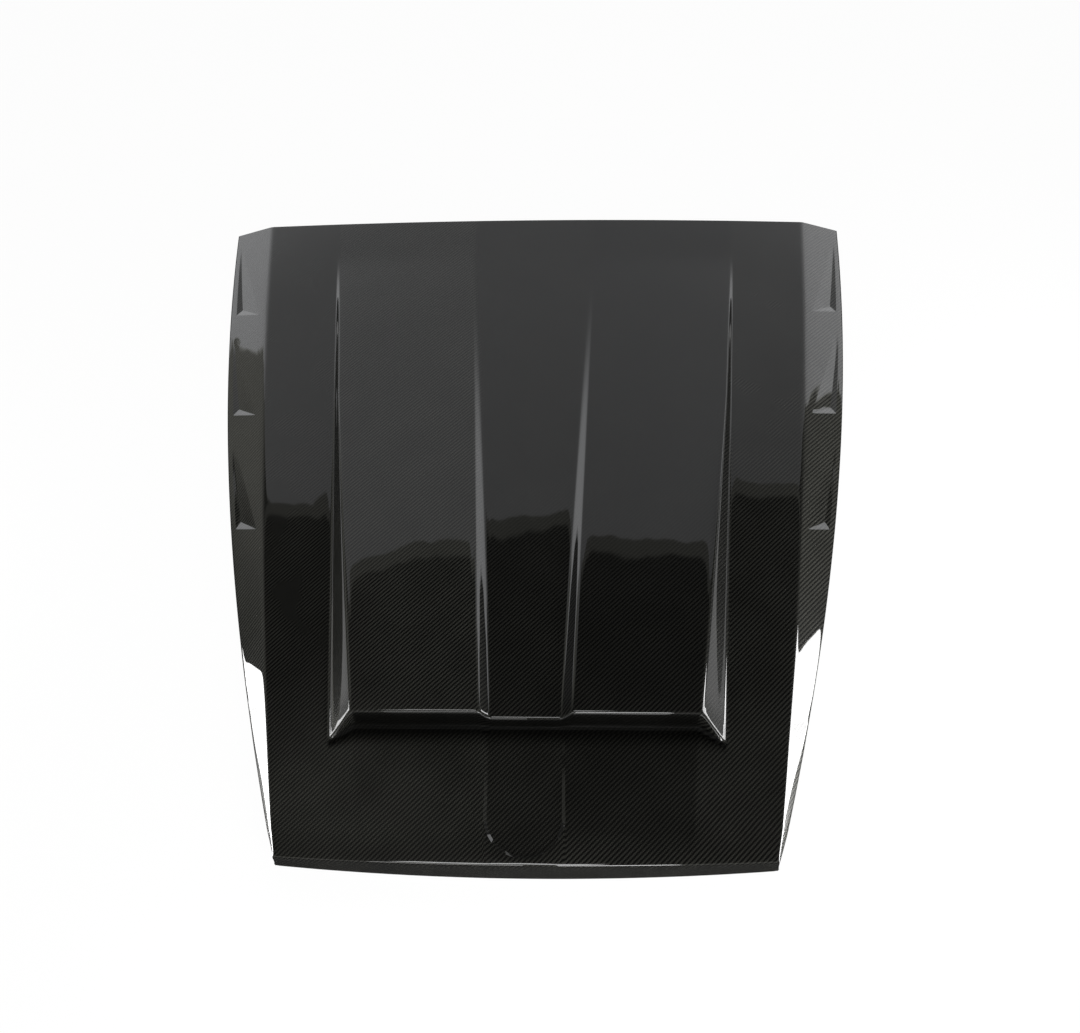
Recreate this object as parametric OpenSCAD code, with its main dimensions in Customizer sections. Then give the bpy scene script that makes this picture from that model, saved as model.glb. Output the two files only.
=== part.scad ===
// Bonnet scoop: a one-piece moulded carbon-fibre cover for a flat, boxy bonnet.
// One laminate of even thickness, lofted from cross-sections that run from the
// rear edge to the front lip. Millimetres. +Y points to the rear (windscreen),
// +Z up, the trimmed rim stands on Z = 0, and X = 0 is the plane of symmetry.

/* [Outline] */
// Length of the top plate along its side edges
side_len = 1114; // [700:1:1500]
// Width of the top plate between its creases, at the rear
plate_rear_w = 948; // [700:1:1300]
// Width of the top plate between its creases, at the front
plate_front_w = 634; // [560:1:900]
// How far each crease bows outwards from a straight line
crease_bow = 14; // [0:1:30]
// Width over the rim at the rear
rim_rear_w = 1078; // [1000:1:1500]
// Width over the rim at the front
rim_front_w = 642; // [642:1:980]
// How far the rim bows outwards from a straight line
rim_bow = 37; // [10:1:60]
// How far the middle of the front edge stands ahead of its corners
front_bow = 13; // [0:1:60]
// How far the middle of the rear edge stands ahead of its corners
rear_bow = 10; // [0:1:60]

/* [Section] */
// Thickness of the laminate
wall = 2.5; // [1.5:0.1:4]
// Height of the crease above the rim, at the rear
rear_h = 26; // [20:0.5:45]
// Height of the crease above the rim, at the front
front_h = 28; // [22:0.5:45]
// Rise of the plate from its creases to its middle
crown = 20; // [0:0.5:40]
// Radius of the crease between plate and flank
crease_r = 3; // [2:0.5:9]
// Height of the upright edge that closes the flank
rim_h = 4; // [2:0.5:6]
// How far the front lip leans forwards on its way down
lip_lean = 3; // [2:0.5:12]
// Corner radius of the lip, seen from above
corner_r = 7; // [5:0.5:12]

/* [Scoop] */
// Distance from the rear corners to the start of the scoop
scoop_rear = 97; // [40:1:200]
// Distance from the front corners to the scoop's front wall
scoop_front = 178; // [140:1:300]
// Height of the two lobes above the plate, at the front wall
scoop_h = 34; // [22:0.5:50]
// Width over the foot of the scoop, at its rear
scoop_rear_w = 686; // [520:1:720]
// Width over the foot of the scoop, at its front tips
scoop_front_w = 520; // [440:1:540]
// Run of the scoop's sloping side at the front
side_run = 33; // [22:1:50]
// How far the two side tips reach ahead of the front wall
tip_lead = 23; // [8:1:40]
// How far the front wall leans forwards on its way down
wall_lean = 8; // [4:0.5:20]
// How far the middle of the front wall stands ahead of its ends
wall_bow = 3; // [0:0.5:20]
// Radius of the raised edges
edge_r = 4; // [3:0.5:6]
// Radius of the hollow where the front wall meets the plate
foot_r = 4; // [2:0.5:14]

/* [Channel and badge place] */
// Depth of the middle channel at the front wall
chan_depth = 14; // [4:0.5:17]
// Width over the channel's upper edges, at the rear
chan_rear_w = 212; // [120:1:260]
// Width over the channel's upper edges, at the front wall
chan_front_w = 120; // [116:1:150]
// Width of the round-ended badge place ahead of the channel
pad_w = 95; // [60:1:100]
// Depth of the badge place at its round end; it is shallower towards the wall
pad_depth = 3; // [1:0.5:5]
// Run of the badge place's sloping border
pad_slope = 4; // [3:0.5:6]
// Plate left between the badge place and the front edge
pad_margin = 9; // [6:0.5:30]

/* [Side vents] */
// Number of wedge-shaped vents in each flank
vent_count = 3; // [1:1:3]
// Distance from one vent to the next
vent_pitch = 214; // [190:1:230]
// Length of each vent
vent_len = 156; // [90:1:170]
// Distance from the front corners to the end of the first vent
vent_first = 492; // [430:1:520]
// Depth of each vent at its end
vent_depth = 3.5; // [2:0.5:7]
// Run of the sloping face that ends each vent
vent_end = 14; // [8:1:25]
// Angle of each vent's end line, away from square across the part
vent_slant = 14; // [0:1:25]

/* [Hidden] */

// ---- steps of the loft -------------------------------------------------------
floor_n = 6;      // steps from the middle to the channel's lower edge
lobe_n = 5;       // steps across the flat of a lobe
plate_n = 4;      // steps across the plate beside the scoop
station_gap = 70; // widest distance between two cross-sections
least = 1.5;      // least distance between two cross-sections
row_gap = 1.6;    // distance between the wall's rows beside the scoop
arc_a = 84;       // angle that the badge place's round end takes up, each side

// ---- places across a flank, 0 at the crease and 1 at the rim ------------------
vent_tip_u = 0.88; // where a vent starts
vent_in_u = 0.2;   // inner corner of its end
vent_low_u = 0.68; // deepest point of its end
vent_out_u = 0.84; // outer corner of its end

// ---- places along Y, from the middle of the side edges ------------------------
y_rear = side_len / 2;
y_front = -side_len / 2;
y_scoop = y_rear - scoop_rear;
y_wall = y_front + scoop_front;
y_tip = y_wall - tip_lead;
y_panel = y_tip - 16;
pad_r = pad_w / 2;
y_arc = y_front - front_bow + pad_margin + pad_slope + pad_r;

function mix(a, b, t) = a + (b - a) * t;
function unit(t) = min(1, max(0, t));
function ease(t) = let(u = unit(t)) u * u * (3 - 2 * u);
// the lesser of two heights, and the greater, with the corner rounded over k
function soft_min(a, b, k) = let(h = max(k - abs(a - b), 0) / k) min(a, b) - h * h * k / 4;
function soft_max(a, b, k) = -soft_min(-a, -b, k);

// ---- the plate and its flanks ---------------------------------------------------
function along(y) = unit((y - y_front) / side_len); // 0 at the front, 1 at the rear
function bow(y) = 4 * along(y) * (1 - along(y));
function crease_x(y) = mix(plate_front_w, plate_rear_w, along(y)) / 2 + crease_bow * bow(y);
function rim_x(y) = mix(rim_front_w, rim_rear_w, along(y)) / 2 + rim_bow * bow(y);
function crease_z(y) = mix(front_h, rear_h, along(y));
function flank_w(y) = rim_x(y) - crease_x(y);
function plate_z(x, y) = crease_z(y) + crown * (1 - pow(unit(x / crease_x(y)), 2));
function flank_z(y, u) = mix(crease_z(y), rim_h, u);
// bow of an end edge, seen from above: 1 in the middle, 0 at the creases
function end_bow(x, y) = 1 - pow(unit(x / crease_x(y)), 2);

// ---- the scoop --------------------------------------------------------------------
// 0 where the scoop starts, 1 at its front wall
function rise(y) = unit((y_scoop - y) / (y_scoop - y_wall));
function lobe_h(y) = scoop_h * pow(rise(y), 1.15);
function foot_x(y) = mix(scoop_rear_w, scoop_front_w, (y_scoop - y) / (y_scoop - y_tip)) / 2;
// every rounding along the scoop is finer towards its start
function edge_at(y) = edge_r * mix(0.35, 1, rise(y));
function top_x(y) = foot_x(y) - max(3 * edge_at(y), side_run * pow(rise(y), 1.5));
// the channel's edges run on as those of the badge place
function chan_in(y) = mix(chan_rear_w / 2 - 2 * edge_r, pad_r, rise(y));
function chan_out(y) = y < y_wall
    ? mix(chan_front_w / 2, pad_r + pad_slope, ease((y_wall - y) / (y_wall - y_panel)))
    : mix(chan_rear_w, chan_front_w, rise(y)) / 2;
// height above the plate, with every long edge rounded
function scoop_z(x, y) = let(
        soft = edge_r * rise(y) + 0.01, h = lobe_h(y), d = chan_depth * rise(y),
        side = h * (foot_x(y) - x) / (foot_x(y) - top_x(y)),
        dip = d * (chan_out(y) - x) / (chan_out(y) - chan_in(y))
    ) soft_max(0, soft_min(h, side, soft), soft) - soft_max(0, soft_min(d, dip, soft), soft);
// depth of the badge place: a bar with a round end towards the front
function pad_z(x, y) = let(d = y > y_arc ? x : norm([x, y - y_arc]))
    pad_depth * mix(0.3, 1, unit((y_panel - y) / (y_panel - y_arc)))
        * unit((pad_r + pad_slope - d) / pad_slope);

// ---- the vents: three-sided hollows that deepen towards the front -------------------
function vent_y(k) = y_front + vent_first + k * vent_pitch;
function vent_of(y) = max(0, min(vent_count - 1, floor((y - vent_y(0)) / vent_pitch + 0.001)));
function past_end(y) = y - vent_y(vent_of(y)); // distance behind the nearest end ahead
// 0 at a vent's start, 1 at its end, and back to 0 before the next one
function vent_open(y) = let(s = past_end(y)) s < 0 ? 1
    : s <= vent_len ? 1 - s / vent_len
    : vent_of(y) < vent_count - 1 ? (s - vent_len) / (vent_pitch - vent_len) : 0;
function vent_dip(y) = let(s = past_end(y)) s < 0 || s > vent_len ? 0
    : vent_depth * min(s / vent_end, (vent_len - s) / (vent_len - vent_end));
function vent_skew(y, u) = tan(vent_slant) * flank_w(y) * max(0, vent_out_u - u)
    * unit(u / vent_in_u) * ease((y_rear - y) / 60);

// ---- columns: the places across one cross-section, from the middle outwards ---------
function crease_u(y) = crease_r / norm([flank_w(y), crease_z(y)]);
function plate_cols(y) = let(
        a = chan_in(y), b = chan_out(y), c = top_x(y), d = foot_x(y), e = crease_x(y), r = edge_at(y)
    ) concat(
        [for (k = [0:floor_n]) a * sin(arc_a * k / floor_n) / sin(arc_a)],
        [b, b + r], [for (k = [1:lobe_n - 1]) mix(b + r, c - r, k / lobe_n)],
        [c - r, c, c + r], [d - r, d, d + r],
        [for (k = [1:plate_n]) mix(d + r, e - crease_r, k / plate_n)], [e]);
function flank_cols(y) = let(t = vent_open(y)) [
    crease_u(y),
    mix(vent_tip_u - 0.05, max(vent_in_u, crease_u(y) + 0.04), t),
    mix(vent_tip_u - 0.025, vent_low_u, t),
    mix(vent_tip_u, vent_out_u, t),
    0.95, 1, 1];

j_out = floor_n + 1;                   // the channel's upper edge
j_top = j_out + lobe_n + 1;            // where the lobe turns over into the side
j_foot = j_top + 4;                    // the foot of the side
j_crease = j_foot + 1 + plate_n + 1;   // the crease
j_low = j_crease + 3;                  // the vents' deepest line
j_rim = j_crease + 7;                  // the rim, at Z = 0
cols = j_rim + 1;

// ---- rows ------------------------------------------------------------------------------
// the front wall from its top edge to its foot: [run of the edge, share of the lean,
// run of the foot, share of the height]
foot_t = foot_r * tan((90 - atan(wall_lean / scoop_h)) / 2);
foot_g = foot_t / scoop_h;
wall_rows = [
    [-edge_r, 0, 0, 1], [0, 0, 0, 1 - 0.3 * edge_r / scoop_h], [0.6 * edge_r, 0, 0, 1 - 1.1 * edge_r / scoop_h],
    [0.6 * edge_r, 0.6, 0, foot_g], [0.6 * edge_r, 1, 0.22 * foot_t, 0.36 * foot_g],
    [0.6 * edge_r, 1, 0.55 * foot_t, 0.1 * foot_g], [0.6 * edge_r, 1, foot_t, 0]];
// the front lip from the plate to its lower edge: [distance ahead, depth below the plate]
lip_rows = [[-edge_r, 0], [-0.3 * edge_r, 0.3 * edge_r], [0, edge_r], [lip_lean, undef]];

function sorted(v) = len(v) < 2 ? v : concat(
    sorted([for (a = v) if (a > v[0]) a]), [for (a = v) if (a == v[0]) a],
    sorted([for (a = v) if (a < v[0]) a]));
function spaced(v) = [for (k = [0:len(v) - 1]) if (k == 0 || v[k - 1] - v[k] > least) v[k]];
function filled(v) = [for (k = [0:len(v) - 2]) let(n = ceil((v[k] - v[k + 1]) / station_gap))
    for (m = [0:n - 1]) mix(v[k], v[k + 1], m / n)];

stations_behind = filled(concat(spaced(sorted(concat([y_rear, y_scoop],
    [for (k = [0:vent_count - 1]) each [vent_y(k) + vent_len, vent_y(k) + vent_end, vent_y(k)]]))),
    [y_wall + 3 * edge_r]));
stations_ahead = filled([y_panel, y_arc]);
rows = concat(
    [for (y = stations_behind) ["behind", y]],
    [for (k = [0:len(wall_rows) - 1]) ["wall", k]],
    [for (y = stations_ahead) ["ahead", y]],
    [for (k = [0, 1]) ["arc", k]],
    [for (k = [0:len(lip_rows) - 1]) ["lip", k]]);
n_rows = len(rows);

// ---- points of the outer skin ---------------------------------------------------------
function plate_skin(x, y, j) = plate_z(x, y) - (j == j_crease ? 0.14 * crease_r : 0);
function flank_pt(y, j) = let(
        u = flank_cols(y)[j - j_crease - 1], yy = y - vent_skew(y, u),
        dip = j == j_low ? vent_dip(y) : j == j_rim - 1 ? 0.3 : 0
    ) [crease_x(yy) + flank_w(yy) * u, yy, j == j_rim ? 0 : flank_z(yy, u) - dip];

function behind_pt(y, j) = j > j_crease ? flank_pt(y, j) : let(
        x = plate_cols(y)[j], yy = y - rear_bow * end_bow(x, y) * ease((y - y_scoop) / (y_rear - y_scoop))
    ) [x, yy, plate_skin(x, yy, j) + scoop_z(x, y)];
function ahead_pt(y, j) = j > j_crease ? flank_pt(y, j)
    : let(x = plate_cols(y)[j]) [x, y, plate_skin(x, y, j) - pad_z(x, y)];

// the wall stands under the lobes and the channel, and its ends sweep out to the side tips
function wall_pt(k, j) = let(
        row = wall_rows[k], x0 = j > j_crease ? 0 : plate_cols(y_wall)[j],
        h = j > j_foot + 1 ? 0 : scoop_z(x0, y_wall), s = h / scoop_h, end = j > j_top,
        lead = end ? tip_lead * (1 - s) : wall_lean * (1 - s) + wall_bow * (1 - pow(x0 / top_x(y_wall), 2)),
        y = y_wall - lead - (row[0] + row[2]) * (end ? s : 1) - wall_lean * s * row[1]
            - (end ? row_gap * k * (1 - s) : 0)
    ) j > j_crease ? flank_pt(y, j) : let(x = plate_cols(y)[j])
        [x, y, plate_skin(x, y, j) + h * row[3] - (1 - row[3]) * pad_z(x, y)];

// the round end of the badge place: k = 0 its lower edge, k = 1 its upper edge
function arc_pt(k, j) = let(y = y_arc - 2.2 * pad_slope * k)
    j > floor_n ? ahead_pt(y, j) + [j == j_out ? k * pad_slope / 4 : 0, 0, 0]
    : let(r = pad_r + k * pad_slope, a = arc_a * j / floor_n, p = [r * sin(a), y_arc - r * cos(a)])
        [p[0], p[1], plate_skin(p[0], p[1], j) - pad_z(p[0], p[1])];

// turns the square corner of the lip into a round one, seen from above
function rounded(p) = let(
        c = [rim_x(y_front) - corner_r, y_front + corner_r],
        dx = p[0] - c[0], dy = c[1] - p[1], r = max(dx, dy), a = atan2(dy, dx)
    ) dx <= 0 || dy <= 0 ? p : [c[0] + r * cos(a), c[1] - r * sin(a), p[2]];
function lip_pt(k, j) = let(
        x = j > j_crease ? 0 : plate_cols(y_front)[j], d = lip_rows[k][1],
        p = j > j_crease ? flank_pt(y_front, j) : [x, y_front, plate_skin(x, y_front, j)],
        y = p[1] - lip_rows[k][0] + (j == j_rim ? 1.5 : 0) - (j > j_crease ? 0 : front_bow * end_bow(p[0], y_front))
    ) rounded([p[0], y, is_undef(d) ? 0 : j > j_crease ? min(p[2], crease_z(y_front) - d) : p[2] - d]);

function skin_pt(row, j) =
    row[0] == "behind" ? behind_pt(row[1], j) : row[0] == "wall" ? wall_pt(row[1], j)
    : row[0] == "ahead" ? ahead_pt(row[1], j) : row[0] == "arc" ? arc_pt(row[1], j) : lip_pt(row[1], j);

// ---- the laminate: the outer skin, and an inner skin one wall below it ---------------
function mirrored(p) = [-p[0], p[1], p[2]];
outer = [for (row = rows) [for (j = [0:cols - 1]) skin_pt(row, j)]];
// at the rim and the lip the inner skin lies beside the outer one, at Z = 0
function rim_dir(i, j) = let(
        a = j == j_rim ? outer[max(0, i - 1)][j] : outer[i][j + 1],
        b = i < n_rows - 1 ? outer[i + 1][j] : outer[i][max(0, j - 1)]
    ) i == 0 ? [1, 0, 0] : j == 0 ? [0, -1, 0] : [a[1] - b[1], b[0] - a[0], 0] / norm([b[0] - a[0], b[1] - a[1]]);
function skin_dir(i, j) = let(
        a = outer[max(0, i - 1)][j], b = outer[i + 1][j],
        c = j > 0 ? outer[i][j - 1] : mirrored(outer[i][1]), d = outer[i][j + 1],
        n = cross(d - c, a - b), m = [j == 0 ? 0 : n[0], i == 0 ? 0 : n[1], n[2]]
    ) m / norm(m);
inner = [for (i = [0:n_rows - 1]) [for (j = [0:cols - 1])
    outer[i][j] - wall * (j == j_rim || i == n_rows - 1 ? rim_dir(i, j) : skin_dir(i, j))]];

module laminate() {
    full = 2 * cols - 1;
    below = n_rows * full;
    pts = [for (skin = [outer, inner]) for (r = skin)
        each concat([for (j = [cols - 1:-1:1]) mirrored(r[j])], r)];
    // every cell is cut into two triangles, mirrored from side to side, and the
    // other way round just outside the vents' deepest line
    skins = [for (i = [0:n_rows - 2]) for (j = [0:full - 2]) let(
            a = i * full + j, b = a + 1, c = b + full, d = a + full,
            left = j < cols - 1, h = left ? cols - 2 - j : j - cols + 1,
            two = left != (h == j_low) ? [[a, b, c], [a, c, d]] : [[a, b, d], [b, c, d]])
        each concat(two, [for (t = two) [t[2] + below, t[1] + below, t[0] + below]])];
    function strip(a, b) = [[a, b, a + below], [b, b + below, a + below]];
    last = below - full;
    polyhedron(pts, concat(skins,
        [for (j = [0:full - 2]) each strip(j + 1, j)],
        [for (j = [0:full - 2]) each strip(last + j, last + j + 1)],
        [for (i = [0:n_rows - 2]) each strip(i * full, (i + 1) * full)],
        [for (i = [0:n_rows - 2]) each strip((i + 2) * full - 1, (i + 1) * full - 1)]), convexity = 6);
}

module bonnet_scoop() {
    color("dimgray") translate([0, (front_bow + lip_lean) / 2, 0]) laminate();
}

bonnet_scoop();
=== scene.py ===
"""A moulded carbon fibre bonnet scoop: one laminate with a raised, channelled scoop, a bare
badge recess and hollow vents, under a thick clear coat."""

import math

import bmesh
import bpy
from bpy.props import FloatProperty, FloatVectorProperty, IntProperty, PointerProperty
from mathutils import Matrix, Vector, noise


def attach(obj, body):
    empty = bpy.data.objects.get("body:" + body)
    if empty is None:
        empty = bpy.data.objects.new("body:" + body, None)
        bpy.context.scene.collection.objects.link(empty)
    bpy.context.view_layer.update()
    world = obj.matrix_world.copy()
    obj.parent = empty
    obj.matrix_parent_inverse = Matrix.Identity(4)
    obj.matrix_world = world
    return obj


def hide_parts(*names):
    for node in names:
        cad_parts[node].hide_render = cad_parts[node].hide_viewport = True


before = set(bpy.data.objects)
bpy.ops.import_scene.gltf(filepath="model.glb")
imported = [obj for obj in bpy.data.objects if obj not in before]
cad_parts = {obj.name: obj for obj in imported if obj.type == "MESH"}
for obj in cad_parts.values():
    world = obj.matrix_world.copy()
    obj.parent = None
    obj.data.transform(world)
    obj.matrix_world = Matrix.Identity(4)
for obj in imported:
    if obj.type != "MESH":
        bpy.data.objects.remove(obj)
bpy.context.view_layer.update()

bl_info = {
    "name": "Bonnet Scoop",
    "version": (1, 0, 0),
    "blender": (4, 5, 0),
    "location": "3D View > Sidebar > Bonnet Scoop",
    "description": "Moulds a carbon fibre bonnet scoop and sets up a studio for it",
    "category": "Object",
}


# ---- what a user would change ----------------------------------------------------------


def length(name, description, value):
    """A length in metres, shown in the scene's unit."""
    return FloatProperty(name=name, description=description, default=value, min=0.0, unit="LENGTH", precision=4)


def colour(name, description, value):
    """A plain linear colour."""
    return FloatVectorProperty(name=name, description=description, default=value, size=3, min=0.0, max=1.0,
                               subtype="COLOR")


def share(name, description, value):
    """A number from nothing to one."""
    return FloatProperty(name=name, description=description, default=value, min=0.0, max=1.0)


def power(name, description, value):
    """A lamp's power in watts."""
    return FloatProperty(name=name, description=description, default=value, min=0.0, unit="POWER")


class ScoopSizes(bpy.types.PropertyGroup):
    """Sizes of the moulding."""

    side_len: length("Side length", "Side edge from front to rear", 1.114)
    plate_rear_w: length("Panel width, rear", "Between the creases at the rear edge", 0.948)
    plate_front_w: length("Panel width, front", "Between the creases at the front edge", 0.634)
    crease_bow: length("Crease bow", "How far each crease bows outwards", 0.014)
    rim_rear_w: length("Rim width, rear", "Across the rims at the rear edge", 1.078)
    rim_front_w: length("Rim width, front", "Across the rims at the front edge", 0.642)
    rim_bow: length("Rim bow", "How far each rim bows outwards", 0.037)
    front_bow: length("Front bow", "How far the middle of the front edge stands ahead", 0.013)
    rear_bow: length("Rear bow", "How far the middle of the rear edge stands ahead", 0.010)
    wall: length("Laminate", "Thickness of the laminate", 0.0025)
    rear_h: length("Crease height, rear", "Height of the creases at the rear edge", 0.026)
    front_h: length("Crease height, front", "Height of the creases at the front edge", 0.028)
    crown: length("Crown", "Rise of the panel between its creases", 0.020)
    crease_r: length("Crease rounding", "Half width of the rounding along each crease", 0.003)
    rim_h: length("Trimmed edge", "Height of the upright edge along each rim", 0.004)
    lip_lean: length("Lip lean", "How far the front lip's foot stands ahead of its top", 0.003)
    corner_r: length("Corner rounding", "Radius of the front corners, from above", 0.007)
    scoop_rear: length("Scoop start", "Behind the scoop, from the rear edge", 0.097)
    scoop_front: length("Scoop front", "Ahead of the scoop's front wall", 0.178)
    scoop_h: length("Scoop height", "Height of the lobes at the front wall", 0.034)
    scoop_rear_w: length("Scoop width, rear", "Across the scoop's foot where it starts", 0.686)
    scoop_front_w: length("Scoop width, front", "Across the scoop's foot at its side tips", 0.520)
    side_run: length("Side run", "Run of a side face at the front wall, from above", 0.033)
    tip_lead: length("Tip lead", "How far the side tips stand ahead of the front wall", 0.023)
    wall_lean: length("Wall lean", "How far the foot of the front wall stands ahead", 0.008)
    wall_bow: length("Wall bow", "How far the middle of the front wall stands ahead", 0.003)
    edge_r: length("Edge rounding", "Rounding along the scoop's edges", 0.004)
    foot_r: length("Foot fillet", "Fillet at the foot of the front wall", 0.004)
    chan_depth: length("Channel depth", "Depth of the channel at the front wall", 0.014)
    chan_rear_w: length("Channel width, rear", "Across the channel's upper edges where it starts", 0.212)
    chan_front_w: length("Channel width, front", "Across the channel's upper edges at the wall", 0.120)
    pad_w: length("Badge place width", "Across the bare badge place", 0.095)
    pad_depth: length("Badge place depth", "Depth of the bare badge place", 0.003)
    pad_slope: length("Badge place slope", "Width of the slope round the badge place", 0.004)
    pad_margin: length("Badge place margin", "Ahead of the badge place, to the front edge", 0.009)
    vent_pitch: length("Vent pitch", "From one vent's end to the next", 0.214)
    vent_len: length("Vent length", "From a vent's start to its end", 0.156)
    vent_first: length("First vent", "From the front edge to the first vent's end", 0.492)
    vent_depth: length("Vent depth", "Depth of a vent at its end", 0.0035)
    vent_end: length("Vent end", "Run of a vent's steep end", 0.014)
    vent_count: IntProperty(name="Vents", description="Vents along each flank", default=3, min=1, max=3)
    vent_slant: FloatProperty(name="Vent slant", description="Angle of a vent's end line, away from square",
                              default=math.radians(14), unit="ROTATION")
    waviness: length("Waviness", "Height of the slow waves that the mould leaves in the surface", 0.00004)


class ScoopFinish(bpy.types.PropertyGroup):
    """Cloth, resin and clear coat; the warp and weft colours are a painted sheen, lit and shaded copies of one black
    tow.
    """

    tow: length("Tow width", "Width of one tow of the cloth", 0.0016675)
    # the warp colour is a painted highlight and the weft colour a painted shade: the same black tows, one lit and one
    # not
    warp_colour: colour("Warp colour", "Tows that run along the part", (0.0178, 0.0178, 0.0155))
    weft_colour: colour("Weft colour", "Tows that run across the part", (0.0034, 0.0034, 0.0032))
    resin_colour: colour("Resin colour", "Resin between the tows", (0.0008, 0.0008, 0.0008))
    coat_roughness: share("Coat roughness", "Roughness of the clear coat", 0.02)
    tow_roughness: share("Tow roughness", "Roughness of the fibres under the coat", 0.42)


class ScoopStudio(bpy.types.PropertyGroup):
    """Camera, floor and surroundings."""

    lens: FloatProperty(name="Lens", description="Focal length of the camera", default=37.43, min=1.0, unit="CAMERA")
    floor_colour: colour("Floor colour", "Colour of the floor", (0.86, 0.86, 0.86))
    key_power: power("Front lamp", "Power of the soft lamp ahead of the camera", 60.0)
    strip_power: power("Strip lamps", "Power that each strip lamp takes its share of", 2.4)


# ---- the form of the moulding ------------------------------------------------------------


def mix(a, b, t):
    return a + (b - a) * t


def unit(t):
    return min(1.0, max(0.0, t))


def ease(t):
    u = unit(t)
    return u * u * (3 - 2 * u)


def soft_min(a, b, k):
    """The lesser of two heights, with the corner between them rounded."""
    h = max(k - abs(a - b), 0.0) / k
    return min(a, b) - h * h * k / 4


def soft_max(a, b, k):
    return -soft_min(-a, -b, k)


class Form:
    """The outer skin as a net of rows and columns; a row runs from the middle to the rim."""

    FLOOR, LOBE, PLATE = 6, 6, 5  # steps across the channel's half, a lobe and the panel beside it
    LOBE_AT = (0.06, 0.28, 0.5, 0.72, 0.94)  # narrow steps beside each rounding keep the wide panels true
    PLATE_AT = (0.07, 0.36, 0.65, 0.94, 1.0)
    STATION_GAP = 0.045
    LEAST = 0.0015
    ROW_GAP = 0.0016
    ARC = math.radians(84)
    TRIM = 0.0022  # width of the trimmed edge's uncoated band, from above
    TRIM_U, TRIM_DIP = 0.9, 0.0003  # where that band starts at most, across the flank, and its edge's dip
    TIP_U, IN_U, LOW_U, OUT_U = 0.88, 0.20, 0.68, 0.84  # a vent's corners across the flank
    TIP_GAP, NEAR_GAP = 0.025, 0.04  # the least gaps between those corners
    SLANT_FADE = 0.06  # ahead of the rear edge, where the vents' slant fades out
    PANEL_RUN = 0.016  # ahead of the side tips, where the columns have reached the badge place's width
    LOBE_POWER, SIDE_POWER = 1.15, 1.5  # how the lobes' height and their side faces' run grow to the front
    FINE_EDGE = 0.35  # share of the edge rounding where the scoop starts
    CREASE_DROP = 0.14  # how far a crease lies under its corner, as a share of its rounding
    RIM_SET = 0.0015  # how far the rim's foot is set back at the lip
    ARC_RUN = 2.2  # from the arc's first row to its second beside the badge place, in slopes

    def __init__(self, sizes):
        for key in sizes.__annotations__:
            setattr(self, key, getattr(sizes, key))
        self.y_rear, self.y_front = self.side_len / 2, -self.side_len / 2
        self.y_scoop = self.y_rear - self.scoop_rear
        self.y_wall = self.y_front + self.scoop_front
        self.y_tip = self.y_wall - self.tip_lead
        self.y_panel = self.y_tip - self.PANEL_RUN
        self.pad_r = self.pad_w / 2
        self.y_arc = self.y_front - self.front_bow + self.pad_margin + self.pad_slope + self.pad_r
        self.j_out = self.FLOOR + 1
        self.j_top = self.j_out + self.LOBE + 1
        self.j_foot = self.j_top + 4
        self.j_crease = self.j_foot + 1 + self.PLATE + 1
        self.j_low = self.j_crease + 3
        self.j_rim = self.j_crease + 7
        self.cols = self.j_rim + 1
        self.wall_rows = self.make_wall_rows()
        r = self.edge_r
        # how far each row of the lip stands ahead, and how far it lies below the panel
        self.lip_rows = [(-r, 0.0), (-0.3 * r, 0.3 * r), (0.0, r), (0.0, 2.2 * r), (self.lip_lean, None)]
        self.rows = self.make_rows()

    # the panel and its flanks
    def along(self, y):
        return unit((y - self.y_front) / self.side_len)

    def bow(self, y):
        return 4 * self.along(y) * (1 - self.along(y))

    def crease_x(self, y):
        return mix(self.plate_front_w, self.plate_rear_w, self.along(y)) / 2 + self.crease_bow * self.bow(y)

    def rim_x(self, y):
        return mix(self.rim_front_w, self.rim_rear_w, self.along(y)) / 2 + self.rim_bow * self.bow(y)

    def crease_z(self, y):
        return mix(self.front_h, self.rear_h, self.along(y))

    def flank_w(self, y):
        return self.rim_x(y) - self.crease_x(y)

    def end_bow(self, x, y):
        return 1 - unit(x / self.crease_x(y)) ** 2

    def plate_z(self, x, y):
        return self.crease_z(y) + self.crown * self.end_bow(x, y)

    def flank_z(self, y, u):
        return mix(self.crease_z(y), self.rim_h, u)

    # the scoop
    def rise(self, y):
        return unit((self.y_scoop - y) / (self.y_scoop - self.y_wall))

    def lobe_h(self, y):
        return self.scoop_h * self.rise(y) ** self.LOBE_POWER

    def foot_x(self, y):
        return mix(self.scoop_rear_w, self.scoop_front_w, (self.y_scoop - y) / (self.y_scoop - self.y_tip)) / 2

    def edge_at(self, y):
        """Every rounding along the scoop is finer towards its start."""
        return self.edge_r * mix(self.FINE_EDGE, 1, self.rise(y))

    def top_x(self, y):
        return self.foot_x(y) - max(3 * self.edge_at(y), self.side_run * self.rise(y) ** self.SIDE_POWER)

    def chan_in(self, y):
        return mix(self.chan_rear_w / 2 - 2 * self.edge_r, self.pad_r, self.rise(y))

    def chan_out(self, y):
        if y < self.y_wall:
            t = ease((self.y_wall - y) / (self.y_wall - self.y_panel))
            return mix(self.chan_front_w / 2, self.pad_r + self.pad_slope, t)
        return mix(self.chan_rear_w, self.chan_front_w, self.rise(y)) / 2

    def scoop_z(self, x, y):
        soft = self.edge_r * self.rise(y) + 1e-5
        h, d = self.lobe_h(y), self.chan_depth * self.rise(y)
        side = h * (self.foot_x(y) - x) / (self.foot_x(y) - self.top_x(y))
        dip = d * (self.chan_out(y) - x) / (self.chan_out(y) - self.chan_in(y))
        return soft_max(0, soft_min(h, side, soft), soft) - soft_max(0, soft_min(d, dip, soft), soft)

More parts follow.
